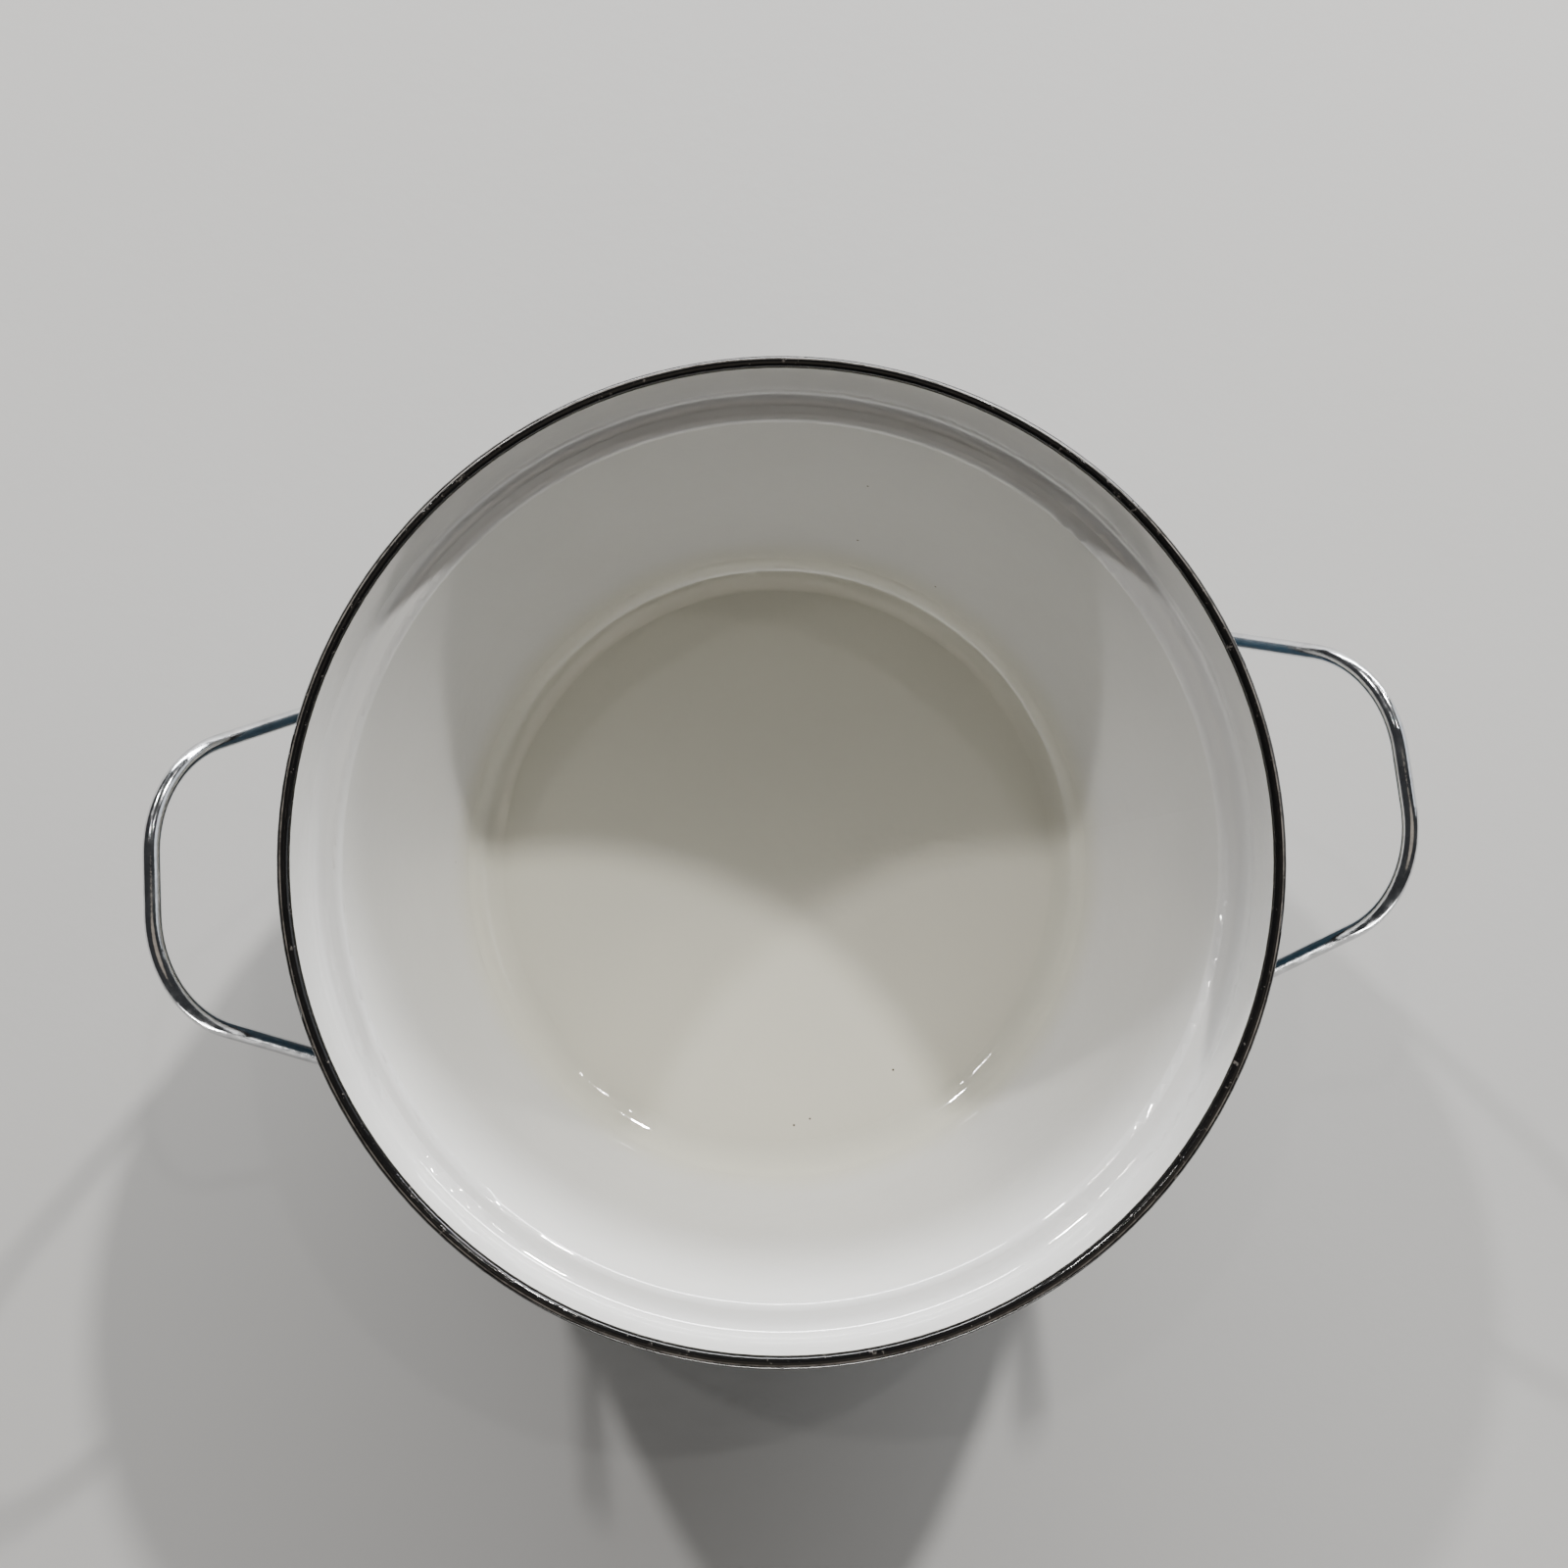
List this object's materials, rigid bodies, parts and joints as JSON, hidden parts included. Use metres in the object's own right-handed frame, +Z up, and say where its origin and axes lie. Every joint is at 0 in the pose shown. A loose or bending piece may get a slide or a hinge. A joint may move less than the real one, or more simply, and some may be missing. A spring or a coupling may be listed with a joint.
{
  "type": "dutch oven",
  "caption": "Round enamelled cast iron cooking pot with a lid seat, tapered wall and swinging wire loop handles.",
  "frame": {"origin": "centre of the foot, on the surface that the pot stands on", "axes": "+Z up towards the open mouth, +X from the middle of the pot towards the right handle"},
  "size_m": [0.3244, 0.2716, 0.1439],
  "materials": {
    "cast_iron": "ground",
    "white_enamel": "gloss",
    "black_enamel": "gloss",
    "blue_enamel": "gloss",
    "ground_coat": "satin",
    "chromed_wire": "polished"
  },
  "bodies": {
    "pot": {"pot_casting": "cast_iron", "interior_enamel": "white_enamel", "rim_enamel": "black_enamel", "exterior_enamel": "blue_enamel", "underside_enamel": "ground_coat"},
    "left_handle": {"handle_left": "chromed_wire"},
    "right_handle": {"handle_right": "chromed_wire"}
  },
  "joints": [
    {"name": "left_handle_swing", "type": "hinge", "parent": "pot", "child": "left_handle", "pos_m": [-0.124, 0, 0.083], "axis": [0, 1, 0], "range_deg": [-159, 11]},
    {"name": "right_handle_swing", "type": "hinge", "parent": "pot", "child": "right_handle", "pos_m": [0.124, 0, 0.083], "axis": [0, -1, 0], "range_deg": [-159, 11]}
  ]
}
